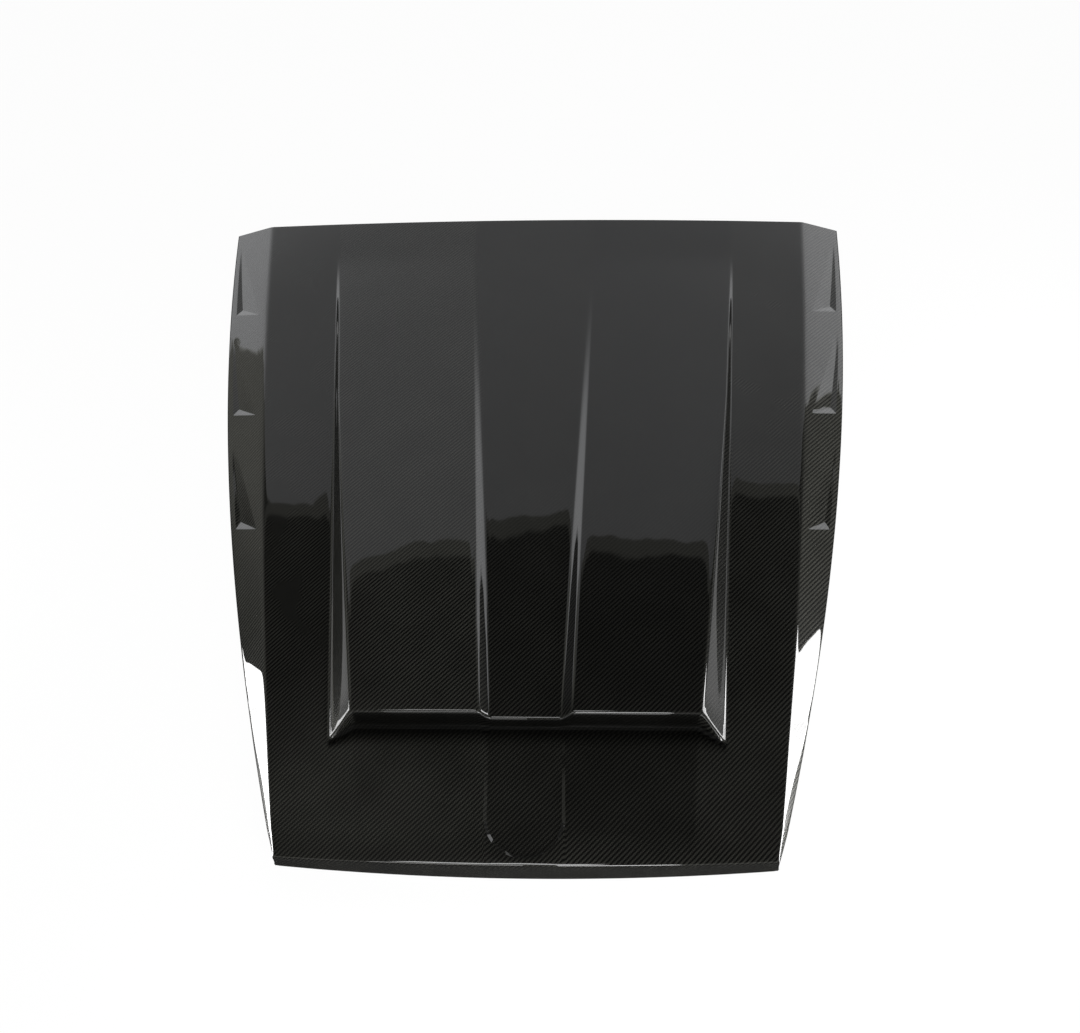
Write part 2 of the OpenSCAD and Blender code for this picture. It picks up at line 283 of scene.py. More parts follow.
    def pad_z(self, x, y):
        d = x if y > self.y_arc else math.hypot(x, y - self.y_arc)
        deep = mix(0.3, 1, unit((self.y_panel - y) / (self.y_panel - self.y_arc)))
        return self.pad_depth * deep * unit((self.pad_r + self.pad_slope - d) / self.pad_slope)

    # the vents
    def vent_y(self, k):
        return self.y_front + self.vent_first + k * self.vent_pitch

    def vent_of(self, y):
        return max(0, min(self.vent_count - 1, math.floor((y - self.vent_y(0)) / self.vent_pitch + 0.001)))

    def vent_open(self, y):
        s = y - self.vent_y(self.vent_of(y))
        if s < 0:
            return 1.0
        if s <= self.vent_len:
            return 1 - s / self.vent_len
        if self.vent_of(y) == self.vent_count - 1:
            return 0.0
        return (s - self.vent_len) / (self.vent_pitch - self.vent_len)

    def vent_dip(self, y):
        s = y - self.vent_y(self.vent_of(y))
        if s < 0 or s > self.vent_len:
            return 0.0
        return self.vent_depth * min(s / self.vent_end, (self.vent_len - s) / (self.vent_len - self.vent_end))

    def vent_skew(self, y, u):
        return (math.tan(self.vent_slant) * self.flank_w(y) * max(0.0, self.OUT_U - u)
                * unit(u / self.IN_U) * ease((self.y_rear - y) / self.SLANT_FADE))

    # columns and rows
    def crease_u(self, y):
        return self.crease_r / math.hypot(self.flank_w(y), self.crease_z(y))

    def plate_cols(self, y):
        a, b, c, d = self.chan_in(y), self.chan_out(y), self.top_x(y), self.foot_x(y)
        e, r = self.crease_x(y), self.edge_at(y)
        return ([a * math.sin(self.ARC * k / self.FLOOR) / math.sin(self.ARC) for k in range(self.FLOOR + 1)]
                + [b, b + r] + [mix(b + r, c - r, t) for t in self.LOBE_AT]
                + [c - r, c, c + r, d - r, d, d + r]
                + [mix(d + r, e - self.crease_r, t) for t in self.PLATE_AT] + [e])

    def flank_cols(self, y):
        t, near = self.vent_open(y), self.crease_u(y)
        return [near, mix(self.TIP_U - 2 * self.TIP_GAP, max(self.IN_U, near + self.NEAR_GAP), t),
                mix(self.TIP_U - self.TIP_GAP, self.LOW_U, t), mix(self.TIP_U, self.OUT_U, t),
                max(self.TRIM_U, 1 - self.TRIM / self.flank_w(y)), 1.0, 1.0]

    def make_wall_rows(self):
        """Run of the edge, share of the lean, run of the foot and share of the height."""
        foot_t = self.foot_r * math.tan((math.pi / 2 - math.atan(self.wall_lean / self.scoop_h)) / 2)
        foot_g, r = foot_t / self.scoop_h, self.edge_r
        return [(-r, 0, 0, 1), (0, 0, 0, 1 - 0.3 * r / self.scoop_h), (0.6 * r, 0, 0, 1 - 1.1 * r / self.scoop_h),
                (0.6 * r, 0.3, 0, 0.5 * (1 - 1.1 * r / self.scoop_h + foot_g)),
                (0.6 * r, 0.6, 0, foot_g), (0.6 * r, 1, 0.22 * foot_t, 0.36 * foot_g),
                (0.6 * r, 1, 0.55 * foot_t, 0.1 * foot_g), (0.6 * r, 1, foot_t, 0)]

    def make_rows(self):
        marks = [self.y_rear, self.y_scoop]
        for k in range(self.vent_count):
            marks += [self.vent_y(k) + self.vent_len, self.vent_y(k) + self.vent_end, self.vent_y(k)]
        marks = sorted(marks, reverse=True)
        marks = [y for k, y in enumerate(marks) if k == 0 or marks[k - 1] - y > self.LEAST]
        return ([("behind", y) for y in self.filled(marks + [self.y_wall + 3 * self.edge_r])]
                + [("wall", k) for k in range(len(self.wall_rows))]
                + [("ahead", y) for y in self.filled([self.y_panel, self.y_arc])]
                + [("arc", 0), ("arc", 1)]
                + [("lip", k) for k in range(len(self.lip_rows))])

    def filled(self, marks):
        out = []
        for a, b in zip(marks, marks[1:]):
            n = math.ceil((a - b) / self.STATION_GAP)
            out += [mix(a, b, m / n) for m in range(n)]
        return out

    # points
    def plate_skin(self, x, y, j):
        return self.plate_z(x, y) - (self.CREASE_DROP * self.crease_r if j == self.j_crease else 0)

    def flank_pt(self, y, j):
        u = self.flank_cols(y)[j - self.j_crease - 1]
        yy = y - self.vent_skew(y, u)
        dip = self.vent_dip(y) if j == self.j_low else self.TRIM_DIP if j == self.j_rim - 1 else 0
        z = 0 if j == self.j_rim else self.flank_z(yy, u) - dip
        return Vector((self.crease_x(yy) + self.flank_w(yy) * u, yy, z))

    def behind_pt(self, y, j):
        if j > self.j_crease:
            return self.flank_pt(y, j)
        x = self.plate_cols(y)[j]
        yy = y - self.rear_bow * self.end_bow(x, y) * ease((y - self.y_scoop) / (self.y_rear - self.y_scoop))
        return Vector((x, yy, self.plate_skin(x, yy, j) + self.scoop_z(x, y)))

    def ahead_pt(self, y, j):
        if j > self.j_crease:
            return self.flank_pt(y, j)
        x = self.plate_cols(y)[j]
        return Vector((x, y, self.plate_skin(x, y, j) - self.pad_z(x, y)))

    def wall_pt(self, k, j):
        run, lean, foot, high = self.wall_rows[k]
        x0 = 0 if j > self.j_crease else self.plate_cols(self.y_wall)[j]
        h = 0 if j > self.j_foot + 1 else self.scoop_z(x0, self.y_wall)
        s, end = h / self.scoop_h, j > self.j_top
        if end:
            lead = self.tip_lead * (1 - s)
        else:
            lead = self.wall_lean * (1 - s) + self.wall_bow * (1 - (x0 / self.top_x(self.y_wall)) ** 2)
        y = (self.y_wall - lead - (run + foot) * (s if end else 1) - self.wall_lean * s * lean
             - (self.ROW_GAP * k * (1 - s) if end else 0))
        if j > self.j_crease:
            return self.flank_pt(y, j)
        x = self.plate_cols(y)[j]
        return Vector((x, y, self.plate_skin(x, y, j) + h * high - (1 - high) * self.pad_z(x, y)))

    def arc_pt(self, k, j):
        y = self.y_arc - self.ARC_RUN * self.pad_slope * k
        if j > self.FLOOR:
            return self.ahead_pt(y, j) + Vector((k * self.pad_slope / 4 if j == self.j_out else 0, 0, 0))
        r, a = self.pad_r + k * self.pad_slope, self.ARC * j / self.FLOOR
        x, y = r * math.sin(a), self.y_arc - r * math.cos(a)
        return Vector((x, y, self.plate_skin(x, y, j) - self.pad_z(x, y)))

    def rounded(self, p):
        cx, cy = self.rim_x(self.y_front) - self.corner_r, self.y_front + self.corner_r
        dx, dy = p.x - cx, cy - p.y
        if dx <= 0 or dy <= 0:
            return p
        r, a = max(dx, dy), math.atan2(dy, dx)
        return Vector((cx + r * math.cos(a), cy - r * math.sin(a), p.z))

    def lip_pt(self, k, j):
        lead, d = self.lip_rows[k]
        flank = j > self.j_crease
        if flank:
            p = self.flank_pt(self.y_front, j)
        else:
            x = self.plate_cols(self.y_front)[j]
            p = Vector((x, self.y_front, self.plate_skin(x, self.y_front, j)))
        y = p.y - lead + (self.RIM_SET if j == self.j_rim else 0)
        if not flank:
            y -= self.front_bow * self.end_bow(p.x, self.y_front)
        if d is None:
            z = 0.0
        else:
            z = min(p.z, self.crease_z(self.y_front) - d) if flank else p.z - d
        return self.rounded(Vector((p.x, y, z)))

    def point(self, row, j):
        kind, value = row
        maker = {"behind": self.behind_pt, "wall": self.wall_pt, "ahead": self.ahead_pt, "arc": self.arc_pt,
                 "lip": self.lip_pt}[kind]
        p = maker(value, j)
        return Vector((p.x, p.y + (self.front_bow + self.lip_lean) / 2, p.z))

    def net(self):
        """Rows of points from the left rim to the right rim, the rear row first."""
        half = [[self.point(row, j) for j in range(self.cols)] for row in self.rows]
        return [[Vector((-p.x, p.y, p.z)) for p in reversed(row[1:])] + row for row in half]


# ---- making the shell ----------------------------------------------------------------------

# how crisp the subdivided edges are: along a vent's sides, at its end and at the trimmed edge
SIDE_CREASE, END_CREASE, TRIM_CREASE = 0.8, 0.85, 0.7
# painted highlight and shade on the tows of each panel, as it faces the light: left and right of the middle, behind
# the front panel and on it
PAINTED_SHEEN = {
    "flank": ((1.4, 2.4), (1.7, 3.4)),
    "plate": ((0.8, 1.18), (0.72, 0.8)),
    "lobe": ((1.25, 1.05), (0.42, 0.55)),
    "middle": ((0.62, 0.68), (0.62, 0.68)),
}
LIP_PAINTED_SHEEN, WALL_PAINTED_SHADE = 0.9, 0.2  # painted sheen on the lip, and painted shade where the front wall is in its own shade
FLANK_WEFT, LIP_WEFT = (0.6, 0.1), 0.5  # the weft's share of the painted sheen, left and right
PANEL_WEFT = (0.1, 1.0)  # the same, behind the front panel and on it
PANEL_START, PANEL_FADE = -0.30, 0.12  # where the front panel's painted sheen starts, and over which length
WALL_FACE = 3  # the front wall's row at half its height: its edge is behind it, its foot ahead


def activate(piece, mode="OBJECT"):
    """Selects one object alone, and enters a mode with it."""
    if bpy.context.object and bpy.context.object.mode != "OBJECT":
        bpy.ops.object.mode_set(mode="OBJECT")
    bpy.ops.object.select_all(action="DESELECT")
    bpy.context.view_layer.objects.active = piece
    piece.select_set(True)
    if mode != "OBJECT":
        bpy.ops.object.mode_set(mode=mode)


def finish_modifier(piece, kind, **values):
    """Adds a modifier with these values and applies it."""
    activate(piece)
    mod = piece.modifiers.new(kind.title(), kind)
    for key, value in values.items():
        setattr(mod, key, value)
    bpy.ops.object.modifier_apply(modifier=mod.name)


def loft_grid(form):
    """A flat grid primitive, drawn onto the net of the form."""
    net = form.net()
    n_rows, n_cols = len(net), len(net[0])
    bpy.ops.object.select_all(action="DESELECT")
    bpy.ops.mesh.primitive_grid_add(x_subdivisions=n_cols - 1, y_subdivisions=n_rows - 1, size=1.0)
    piece = bpy.context.object
    piece.name = piece.data.name = "scoop_shell"
    for i in range(n_rows):
        for j in range(n_cols):
            piece.data.vertices[i * n_cols + j].co = net[n_rows - 1 - i][j]
    return piece, net


def cloth_lengths(net):
    """What the cloth's own length adds to X and Y at each point of the net, for each of its cuts."""
    n_rows, n_cols = len(net), len(net[0])
    mid = n_cols // 2
    across = [[0.0] * n_cols for _ in range(n_rows)]
    for i, row in enumerate(net):
        for side in (1, -1):
            run = 0.0
            for j in range(mid + side, mid + side * (mid + 1), side):
                step = row[j] - row[j - side]
                run += math.hypot(step.x, step.z) - abs(step.x)
                across[i][j] = side * run
    lengths = [[0.0] * n_cols for _ in range(n_rows)]
    for j in range(n_cols):
        run = 0.0
        for i in range(1, n_rows):
            step = net[i][j] - net[i - 1][j]
            run += math.hypot(step.y, step.z) - abs(step.y)
            lengths[i][j] = -run
    return across, lengths


def mark_cloth(piece, net, form):
    """Stores the cloth's extra length as a UV map, in one cut for each panel of cloth."""
    n_rows, n_cols = len(net), len(net[0])
    mid = n_cols // 2
    across, lengths = cloth_lengths(net)
    i_wall = next(i for i, r in enumerate(form.rows) if r[0] == "wall")
    i_ahead = next(i for i, r in enumerate(form.rows) if r[0] == "ahead")
    base = i_ahead - 1
    layer = piece.data.uv_layers[0]
    layer.name = "cloth"
    for poly in piece.data.polygons:
        ij = [(n_rows - 1 - v // n_cols, v % n_cols) for v in poly.vertices]
        col = max(abs(j - mid) for _, j in ij)
        row = max(i for i, _ in ij)
        for loop, (i, j) in zip(poly.loop_indices, ij):
            side = 1 if j >= mid else -1
            if col > form.j_crease:
                du = across[i][j] - across[i][mid + side * form.j_crease]
                dv = 0.0
            elif row >= i_ahead:
                du = across[i][j] - across[base][j]
                dv = lengths[i][j] - lengths[base][j]
            elif col > form.j_foot + 1:
                foot = mid + side * (form.j_foot + 1)
                du = across[i][j] - across[i][foot] - across[base][j] + across[base][foot]
                dv = 0.0
            else:
                du = across[i][j]
                dv = lengths[i][j] - lengths[i_wall][j] if row > i_wall else 0.0
            layer.data[loop].uv = (du, dv)


def cut_vents(piece, net, form):
    """Splits each vent's end cells along the ridges of its end, and makes its edges crisp."""
    n_rows, n_cols = len(net), len(net[0])
    mid = n_cols // 2
    ys = [row[1] if row[0] == "behind" else None for row in form.rows]
    activate(piece)
    mesh = bmesh.new()
    mesh.from_mesh(piece.data)
    mesh.verts.ensure_lookup_table()
    crease = mesh.edges.layers.float["crease_edge"]

    def row_at(y):
        return min((i for i in range(n_rows) if ys[i] is not None), key=lambda i: abs(ys[i] - y))

    def vert(i, j):
        return mesh.verts[(n_rows - 1 - i) * n_cols + j]

    def crisp(a, b, value):
        edge = mesh.edges.get((a, b))
        if edge:
            edge[crease] = value
            edge.smooth = False

    for k in range(form.vent_count):
        i_end = row_at(form.vent_y(k))
        i_low = row_at(form.vent_y(k) + form.vent_end)
        i_start = row_at(form.vent_y(k) + form.vent_len)
        for side in (1, -1):
            low = mid + side * form.j_low
            for corner in (low - side, low + side):
                pair = (vert(i_end, corner), vert(i_low, low))
                bmesh.ops.connect_vert_pair(mesh, verts=pair)
                crisp(*pair, SIDE_CREASE)
            for j in (low - side, low):
                crisp(vert(i_end, j), vert(i_end, j + side), END_CREASE)
            for i in range(i_start, i_end):
                for j in (low - side, low, low + side):
                    if not (i >= i_low and j == low):
                        crisp(vert(i, j), vert(i + 1, j), SIDE_CREASE)
    mesh.to_mesh(piece.data)
    mesh.free()


def painted_panel_sheen(form, kind, step, column, side, y):
    """Painted sheen and shade: how strongly the tows shine as each panel faces the light, and the weft's share of it.
    """
    front, right = unit((PANEL_START - y) / PANEL_FADE), side > 0
    if kind == "lip":
        return LIP_PAINTED_SHEEN, LIP_WEFT
    # the front wall's face and foot get a painted shade
    if kind == "wall" and (step >= 2 and column <= form.j_top or step > WALL_FACE and column <= form.j_foot):
        return WALL_PAINTED_SHADE, mix(*PANEL_WEFT, front)
    if column > form.j_crease:
        return mix(*PAINTED_SHEEN["flank"][right], front), FLANK_WEFT[right]
    panel = "plate" if column > form.j_top else "lobe" if column >= form.j_out else "middle"
    return mix(*PAINTED_SHEEN[panel][right], front), mix(*PANEL_WEFT, front)


def coat_loss(form, kind, step, column):
    """Where the clear coat is thin or missing: on the trimmed edge, the wall's edge and the wall's foot."""
    if column >= form.j_rim - 1:
        return 1.0
    if kind == "wall" and column <= form.j_foot:
        return 1.0 if step > WALL_FACE else 0.4 if step < WALL_FACE else 0.0
    return 0.0


def mark_painted_sheen_and_coat(piece, net, form):
    """Stores the painted sheen, the weft's share and the loss of coat on the net's points."""
    n_rows, n_cols = len(net), len(net[0])
    mid = n_cols // 2
    names = ("sheen", "weft_share", "coat_loss")
    for name in names:
        piece.data.attributes.new(name, "FLOAT", "POINT")
    layers = [piece.data.attributes[name] for name in names]
    for k, v in enumerate(piece.data.vertices):
        j = k % n_cols - mid
        kind, step = form.rows[n_rows - 1 - k // n_cols]
        # each point's painted sheen, set by how its panel faces the light
        sheen, weft = painted_panel_sheen(form, kind, step, abs(j), -1 if j < 0 else 1, v.co.y)
        for layer, value in zip(layers, (sheen, weft, coat_loss(form, kind, step, abs(j)))):
            layer.data[k].value = value


def crisp_lines(piece, net, form):
    """Makes the badge place's outline sharp, and tightens the rounding of the trimmed edges."""
    n_rows, n_cols = len(net), len(net[0])
    mid = n_cols // 2
    layer = piece.data.attributes.new("crease_edge", "FLOAT", "EDGE")
    for edge in piece.data.edges:
        (ia, ja), (ib, jb) = [(n_rows - 1 - v // n_cols, v % n_cols) for v in edge.vertices]
        column, kinds = max(abs(ja - mid), abs(jb - mid)), {form.rows[ia][0], form.rows[ib][0]}
        beside = ja == jb and column in (form.FLOOR, form.j_out) and kinds <= {"ahead", "arc"}
        round_end = ia == ib and column <= form.FLOOR and kinds == {"arc"}
        if beside or round_end:
            layer.data[edge.index].value = 1.0
            edge.use_edge_sharp = True
        elif ja == jb and column == form.j_rim - 1:
            layer.data[edge.index].value = TRIM_CREASE


def wave_surface(piece, height):
    """The slow waves that a mould and its resin leave."""
    normals = [v.normal.copy() for v in piece.data.vertices]
    moved = []
    for v, normal in zip(piece.data.vertices, normals):
        wave = noise.noise(v.co * 9.0) + 0.5 * noise.noise(v.co * 21.0 + Vector((3.1, 1.7, 0.4)))
        moved.extend(v.co + normal * wave * height)
    piece.data.vertices.foreach_set("co", moved)
    piece.data.update()


def lay_cloth(piece):
    """Turns the stored extra length into the cloth's own map: metres across and along it."""
    layer = piece.data.uv_layers["cloth"]
    for poly in piece.data.polygons:
        for loop, v in zip(poly.loop_indices, poly.vertices):
            layer.data[loop].uv = layer.data[loop].uv + piece.data.vertices[v].co.xy


# ---- shader building ---------------------------------------------------------------------


def tree_node(tree, kind, inputs=None, **values):
    """Adds a node, sets its values and feeds its inputs with numbers or other nodes' outputs."""
    node = tree.nodes.new(kind)
    for key, value in values.items():
        setattr(node, key, value)
    for key, value in (inputs or {}).items():
        if isinstance(value, bpy.types.NodeSocket):
            tree.links.new(value, node.inputs[key])
        else:
            node.inputs[key].default_value = value
    return node


def calc(tree, operation, a, b=0.0, c=None, clamp=False):
    """One step of arithmetic."""
    inputs = {0: a, 1: b}
    if c is not None:
        inputs[2] = c
    return tree_node(tree, "ShaderNodeMath", inputs, operation=operation, use_clamp=clamp).outputs[0]


def product(tree, first, *others):
    """Numbers or outputs multiplied together."""
    for other in others:
        first = calc(tree, "MULTIPLY", first, other)
    return first


def slope(tree, value, low, high, start=0.0, end=1.0, smooth=True):
    """Runs from start to end while the value goes from low to high, and holds outside."""
    return tree_node(tree, "ShaderNodeMapRange", {0: value, 1: low, 2: high, 3: start, 4: end},
                     interpolation_type="SMOOTHSTEP" if smooth else "LINEAR").outputs[0]


def blend(tree, share_of_b, a, b):
    """A number between two numbers."""
    return tree_node(tree, "ShaderNodeMix", {0: share_of_b, 2: a, 3: b}, data_type="FLOAT").outputs[0]


def blend_colour(tree, share_of_b, a, b):
    """A colour between two colours, each a socket or a plain value."""
    a, b = [c if isinstance(c, bpy.types.NodeSocket) else (*c, 1.0) for c in (a, b)]
    return tree_node(tree, "ShaderNodeMix", {0: share_of_b, 6: a, 7: b}, data_type="RGBA").outputs[2]


def stored(tree, name):
    """A value that the mesh holds for each of its points."""
    return tree_node(tree, "ShaderNodeAttribute", attribute_type="GEOMETRY", attribute_name=name).outputs["Fac"]


def new_group(name, inputs, outputs):
    """An empty node group with its sockets: (name, socket type, default)."""
    tree = bpy.data.node_groups.new(name, "ShaderNodeTree")
    for direction, sockets in (("INPUT", inputs), ("OUTPUT", outputs)):
        for label, kind, value in sockets:
            socket = tree.interface.new_socket(label, in_out=direction, socket_type=kind)
            if value is not None:
                socket.default_value = value
    return tree, tree.nodes.new("NodeGroupInput"), tree.nodes.new("NodeGroupOutput")


def twill_group():
    """Two-by-two twill: which tow is on top, how high it lies, and where the gaps are."""
    tree, given, out = new_group(
        "Twill Weave",
        [("Vector", "NodeSocketVector", None), ("Tow", "NodeSocketFloat", 0.00167)],
        [("Warp", "NodeSocketFloat", None), ("Height", "NodeSocketFloat", None), ("Gap", "NodeSocketFloat", None)])
    spot = tree_node(tree, "ShaderNodeSeparateXYZ", {0: given.outputs["Vector"]})
    u = calc(tree, "DIVIDE", spot.outputs[0], given.outputs["Tow"])
    v = calc(tree, "DIVIDE", spot.outputs[1], given.outputs["Tow"])
    iu, iv = calc(tree, "FLOOR", u), calc(tree, "FLOOR", v)
    fu, fv = calc(tree, "SUBTRACT", u, iu), calc(tree, "SUBTRACT", v, iv)
    step = calc(tree, "FLOORED_MODULO", calc(tree, "SUBTRACT", iu, iv), 4.0)
    warp = calc(tree, "LESS_THAN", step, 1.5)
    # place along a float, 0 at its start and 1 at its end: a warp float rises with v
    second_warp = calc(tree, "LESS_THAN", step, 0.5)
    along_warp = calc(tree, "MULTIPLY", calc(tree, "ADD", fv, second_warp), 0.5)
    second_weft = calc(tree, "GREATER_THAN", step, 2.5)
    along_weft = calc(tree, "MULTIPLY", calc(tree, "ADD", fu, second_weft), 0.5)

    def hump(t):
        return calc(tree, "SINE", calc(tree, "MULTIPLY", t, math.pi))

    def height_of(across, along):
        return calc(tree, "MULTIPLY", calc(tree, "POWER", hump(across), 0.6), calc(tree, "POWER", hump(along), 0.5))

    high_warp, high_weft = height_of(fu, along_warp), height_of(fv, along_weft)
    height = blend(tree, warp, high_weft, high_warp)
    gap = calc(tree, "SUBTRACT", 1.0, calc(tree, "MULTIPLY", height, 2.6), clamp=True)
    for label, value in (("Warp", warp), ("Height", height), ("Gap", gap)):
        tree.links.new(value, out.inputs[label])
    return tree


def carbon_material(finish):
    """Twill carbon cloth in resin, under a thick clear coat, with a painted sheen on its tows."""
    material = bpy.data.materials.new("coated_carbon_twill")
    material.use_nodes = True
    tree = material.node_tree
    tree.nodes.clear()
    cloth = tree_node(tree, "ShaderNodeUVMap", uv_map="cloth").outputs[0]
    weave = tree_node(tree, "ShaderNodeGroup", node_tree=twill_group())
    tree.links.new(cloth, weave.inputs["Vector"])
    weave.inputs["Tow"].default_value = finish.tow
    tone = tree_node(tree, "ShaderNodeTexNoise", {"Vector": cloth, "Scale": 14.0, "Detail": 3.0}).outputs[0]
    # painted sheen: the lit warp and shaded weft, scaled by each panel's stored painted sheen, stand in for light
    # caught along the tows
    weft_colour = blend_colour(tree, stored(tree, "weft_share"), finish.resin_colour, finish.weft_colour)
    tow_colour = blend_colour(tree, weave.outputs["Warp"], weft_colour, finish.warp_colour)
    gain = calc(tree, "MULTIPLY", stored(tree, "sheen"), calc(tree, "MULTIPLY_ADD", tone, 0.9, 0.55))
    lit = tree_node(tree, "ShaderNodeVectorMath", {0: tow_colour, "Scale": gain}, operation="SCALE").outputs[0]
    base = blend_colour(tree, weave.outputs["Gap"], lit, finish.resin_colour)
    coat = slope(tree, stored(tree, "coat_loss"), 0.1, 0.7, 1.0, 0.0)
    bump = tree_node(tree, "ShaderNodeBump", {"Strength": 0.35, "Distance": 0.0002, "Height": weave.outputs["Height"]})
    shader = tree_node(tree, "ShaderNodeBsdfPrincipled", {
        "Base Color": base, "Metallic": 0.0, "Roughness": finish.tow_roughness, "Normal": bump.outputs[0],
        "Specular IOR Level": 0.02, "Coat Weight": coat, "Coat Roughness": finish.coat_roughness, "Coat IOR": 1.5})
    tree_node(tree, "ShaderNodeOutputMaterial", {0: shader.outputs[0]})
    return material


# ---- the studio's values and surroundings -------------------------------------------------

CAMERA_PLACE, CAMERA_TURN = (0.0466, -0.9202, 1.4535), (32.9387, 1.7742, 1.084)  # turns in degrees on X, Y and Z
CAMERA_SHIFT, SENSOR = (0.0183, -0.0262), 36.0
FLOOR_SIZE, FLOOR_DROP = 60.0, 0.0004
RIM_SLANT, RIM_AT = 0.297, 0.4867  # the front half of a rim on the floor: its slant, and its place beside the middle
# the screen's upper edge: how far to the right of the rear, and how high, in degrees seen from the part
SKYLINE = ((-50, 46.0), (-44.3, 48.2), (-34.5, 52.2), (-29.8, 51.9), (-21.6, 52.6), (-11.3, 53.9), (-7.6, 55.3),
           (0, 55.2), (2.6, 54.9), (7, 54.1), (13.6, 53.7), (22.1, 52.5), (28.2, 53.0), (33.9, 51.4), (44, 48.0),
           (50, 46.0))
SKY_TURN, SKY_LOW, SKY_SPAN = 50, 45.0, 12.0  # how far that line goes to each side, and its curve's heights
SOFTBOX = ("front_softbox", (-0.3, -1.7, 3.2), (28.0, 0.0, -10.0), (1.6, 1.2))
# name, place, turn in degrees on X, Y and Z, size, and share of the strips' power
STRIPS = (
    ("left_strip", (-1.25, -0.27, 0.03), (90.0, 0.0, -90.0), (0.26, 0.06), 0.4),
    ("left_high_strip", (-1.25, -0.173, 0.1415), (90.0, -37.6, -90.0), (0.20, 0.15), 0.8),
    ("right_strip", (1.25, -0.24, 0.06), (90.0, 0.0, 90.0), (0.30, 0.12), 1.0),
    ("right_high_strip", (1.25, -0.127, 0.349), (90.0, 27.3, 90.0), (0.30, 0.50), 4.0),
    ("left_floor_strip", (-0.877, -0.398, 0.0012), (180.0, 0.0, -12.7), (0.87, 0.34), 5.0),
    ("right_floor_strip", (0.870, -0.424, 0.0012), (180.0, 0.0, 12.6), (0.886, 0.34), 5.0),
    ("left_low_strip", (-0.421, -0.468, 0.0016), (180.0, 0.0, 23.15), (0.12, 0.206), 0.4),
    ("right_low_strip", (0.4235, -0.475, 0.0016), (180.0, 0.0, -24.6), (0.12, 0.22), 0.4),
    ("left_lip_strip", (-0.20, -1.10, 0.25), (78.0, 0.0, 0.0), (0.36, 0.25), 0.6),
    ("right_lip_strip", (0.20, -1.10, 0.25), (78.0, 0.0, 0.0), (0.28, 0.25), 1.8),
)


def skyline(tree, turn):
    """Height of the screen's upper edge, which droops to each side."""
    line = tree_node(tree, "ShaderNodeFloatCurve", {1: slope(tree, turn, -SKY_TURN, SKY_TURN, smooth=False)})
    points = line.mapping.curves[0].points
    for degrees, height in SKYLINE:
        spot = (degrees / (2 * SKY_TURN) + 0.5, (height - SKY_LOW) / SKY_SPAN)
        if abs(degrees) == SKY_TURN:
            point = points[0] if degrees < 0 else points[len(points) - 1]
        else:
            point = points.new(*spot)
        point.location, point.handle_type = spot, "VECTOR"
    line.mapping.update()
    return calc(tree, "MULTIPLY_ADD", line.outputs[0], SKY_SPAN, SKY_LOW)


def screen_edge(tree, right, high):
    """How far the screen reaches to each side: its edges lean outwards, and more so near the ground."""
    left_limit = calc(tree, "MULTIPLY_ADD", high, -0.45, 61.9)
    right_limit = calc(tree, "MULTIPLY_ADD", high, -0.73, 74.3)
    near_ground = slope(tree, high, 16.0, 26.0, 6.5, 0.0, smooth=False)
    return calc(tree, "ADD", blend(tree, right, left_limit, right_limit), near_ground)


def screen_level(tree, turn, off, high, wobble):
    """Brightness of the screen: brightest low down, shaded at the upper right, with a dark hedge at its foot."""
    level = calc(tree, "ADD", slope(tree, high, 27.0, 43.5, 2.35, 0.68), slope(tree, high, 43.0, 56.0, 0.0, -0.1))
    shaded = product(tree, slope(tree, turn, 18.0, 32.0), slope(tree, high, 43.0, 50.0, 0.04, 0.17))
    level = calc(tree, "SUBTRACT", level, shaded)
    hedge_top = slope(tree, off, 44.0, 50.0, 7.0, 16.5)
    over_hedge = calc(tree, "SUBTRACT", calc(tree, "MULTIPLY_ADD", wobble, 3.0, high), hedge_top)
    return calc(tree, "ADD", product(tree, level, slope(tree, over_hedge, 0.0, 1.5)), 0.10)


def above_level(tree, turn, high, over):
    """Brightness above the screen: an olive strip, then the dark ceiling, paler high up on the left."""
    strip = slope(tree, over, 0.6, 0.9, 0.24, 0.0)
    pale = product(tree, slope(tree, turn, -20.0, -45.0), slope(tree, high, 56.0, 62.0))
    return calc(tree, "ADD", strip, calc(tree, "MULTIPLY_ADD", pale, 0.08, 0.02))


def side_level(tree, right, off, high):
    """Brightness beside the screen: olive, darker to the right and high up, pale at the ground and in front."""
    level = product(tree, slope(tree, high, 10.0, 24.0, 0.12, 0.66), slope(tree, high, 34.0, 50.0, 1.0, 0.06),
                    calc(tree, "MULTIPLY_ADD", right, -0.58, 1.0), slope(tree, off, 56.0, 72.0, 1.0, 0.45))
    ground_top = calc(tree, "MULTIPLY_ADD", right, 8.0, 2.5)
    ground = slope(tree, calc(tree, "SUBTRACT", high, ground_top), -1.0, 1.0, 1.5, 0.0)
    in_front = slope(tree, high, 8.0, 20.0, 0.75, 0.35)
    return blend(tree, slope(tree, off, 95.0, 125.0), calc(tree, "ADD", level, ground), in_front)


# ---- operators ---------------------------------------------------------------------------


